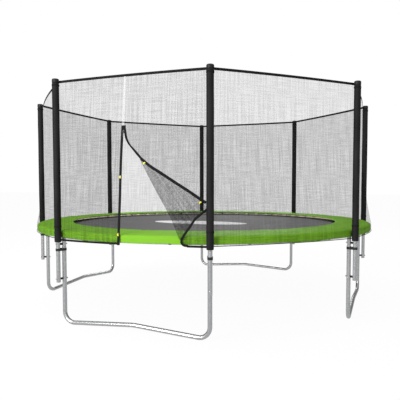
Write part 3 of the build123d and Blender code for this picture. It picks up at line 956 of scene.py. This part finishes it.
# ---------------------------------------------------------------- CAD finishes
def finish_cad():
    """Gives each CAD node that stays its own material."""
    finishes = {
        "top_rail": GALVANISED,
        "leg_": GALVANISED,
        "pole_lower": GALVANISED,
        "pole_uppers": GALVANISED,
        "rail_tees": GALVANISED,
        "pole_caps": PLASTIC,
        "pole_spacers": PLASTIC,
        "pole_bolts": BRIGHT_ZINC,
        "pole_nuts": BRIGHT_ZINC,
        "strap_clamps": CLAMP,
        "mat_rings": BRIGHT_ZINC,
        "ring_tabs": WEBBING,
        "mat_edge_band": WEBBING,
        "pad_ties": WEBBING,
        "net_pole_loops": WEBBING,
        "zip_slider": BLACK_METAL,
        "zip_pull": BLACK_METAL,
        "door_clips": CLIP,
        "flap_clips": CLIP,
    }
    for name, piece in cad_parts.items():
        for start, finish in finishes.items():
            if name.startswith(start):
                for slot in piece.material_slots:
                    slot.material = finish


# ---------------------------------------------------------------- studio
def ray_split(tree, ray, chosen, other):
    """Mixes two shaders: one for one kind of ray and one for the rest."""
    path = node(tree, "ShaderNodeLightPath")
    mixer = node(tree, "ShaderNodeMixShader")
    link(tree, path, ray, mixer, 0)
    tree.links.new(other.outputs[0], mixer.inputs[1])
    tree.links.new(chosen.outputs[0], mixer.inputs[2])
    return mixer


def white_floor():
    """A plain white floor that keeps a faint shadow."""
    mesh = bpy.data.meshes.new("floor")
    size = 60.0
    corners = [(-size, -size, 0), (size, -size, 0), (size, size, 0), (-size, size, 0)]
    mesh.from_pydata(corners, [], [(0, 1, 2, 3)])
    floor = bpy.data.objects.new("floor", mesh)
    bpy.context.collection.objects.link(floor)
    surface, tree, shader = material("floor_white", (0.06, 0.06, 0.06), 1.0)
    shader.inputs["Specular IOR Level"].default_value = 0.0
    shader.inputs["Emission Color"].default_value = (1, 1, 1, 1)
    shader.inputs["Emission Strength"].default_value = 0.95
    glow = node(tree, "ShaderNodeEmission", Strength=FLOOR_GLOW)
    mirrored = node(tree, "ShaderNodeEmission", Strength=FLOOR_MIRRORED)
    light = ray_split(tree, "Is Glossy Ray", mirrored, glow)
    mixer = ray_split(tree, "Is Camera Ray", shader, light)
    output = tree.nodes["Material Output"]
    tree.links.new(mixer.outputs[0], output.inputs["Surface"])
    mesh.materials.append(surface)


def sky_band(tree, split, axis, low, high, values):
    """A grey that changes along one axis of the sky."""
    band = node(tree, "ShaderNodeMapRange", clamp=True)
    band.inputs["From Min"].default_value = low
    band.inputs["From Max"].default_value = high
    band.inputs["To Min"].default_value = values[0]
    band.inputs["To Max"].default_value = values[1]
    link(tree, split, axis, band, "Value")
    return band


def soft_world():
    """White to the camera; as light, brightest overhead and in front of the doorway."""
    world = bpy.data.worlds.new("studio")
    world.use_nodes = True
    bpy.context.scene.world = world
    tree = world.node_tree
    seen = tree.nodes["Background"]
    seen.inputs["Color"].default_value = (1, 1, 1, 1)
    place = node(tree, "ShaderNodeTexCoord")
    split = node(tree, "ShaderNodeSeparateXYZ")
    link(tree, place, "Generated", split, 0)
    above = sky_band(tree, split, "Z", 0.1, 0.8, (0.12, 0.60))
    front_glow = sky_band(tree, split, "Y", -0.95, -0.40, (0.92, 0.0))
    total = node(tree, "ShaderNodeMath", operation="ADD")
    link(tree, above, "Result", total, 0)
    link(tree, front_glow, "Result", total, 1)
    other = node(tree, "ShaderNodeBackground")
    link(tree, total, "Value", other, "Strength")
    mixer = ray_split(tree, "Is Camera Ray", seen, other)
    output = tree.nodes["World Output"]
    tree.links.new(mixer.outputs[0], output.inputs["Surface"])


def lamp(name, place, aim, size, power):
    """A soft square lamp that points at a place."""
    light = bpy.data.lights.new(name, "AREA")
    light.size = size
    light.energy = power
    obj = bpy.data.objects.new(name, light)
    obj.location = place
    obj.rotation_euler = (Vector(aim) - Vector(place)).to_track_quat("-Z", "Y").to_euler()
    bpy.context.collection.objects.link(obj)


# How bright the floor is as light, and as seen in a reflection.
FLOOR_GLOW = 0.90
FLOOR_MIRRORED = 0.45


def studio():
    """A white floor, a soft world and large soft lamps."""
    white_floor()
    soft_world()
    middle = (0, 0, 0.9)
    lamp("key", (-2.6, -8.6, 3.2), middle, 3.0, 400)
    lamp("top", (-1.5, -1.0, 7.0), middle, 5.0, 170)
    lamp("back", (-2.0, 8.5, 4.0), middle, 3.5, 110)


def camera():
    """The camera: in front and to the right of the doorway, looking slightly down."""
    data = bpy.data.cameras.new("camera")
    data.lens = 43.08
    data.sensor_width = 36
    data.shift_x = -0.0212
    data.shift_y = 0.0235
    data.clip_end = 200
    obj = bpy.data.objects.new("camera", data)
    obj.location = (2.0079, -5.1852, 1.2436)
    heading = math.radians(110.70)
    pitch = math.radians(-2.94)
    aim = Vector(
        (
            math.cos(heading) * math.cos(pitch),
            math.sin(heading) * math.cos(pitch),
            math.sin(pitch),
        )
    )
    obj.rotation_euler = aim.to_track_quat("-Z", "Y").to_euler()
    bpy.context.collection.objects.link(obj)
    bpy.context.scene.camera = obj


camera()
studio()
bpy.context.scene.view_settings.view_transform = "Standard"
side_net()
front_net()
top_hem()
bottom_hem()
flap_net()
door_seam()
fixed_tapes()
flap_tapes()
pad_ring()
jumping_mat()
mat_print()
springs()
for number, pole in enumerate(POLE_ANGLES):
    foam_sleeve(number + 1, pole)
finish_cad()
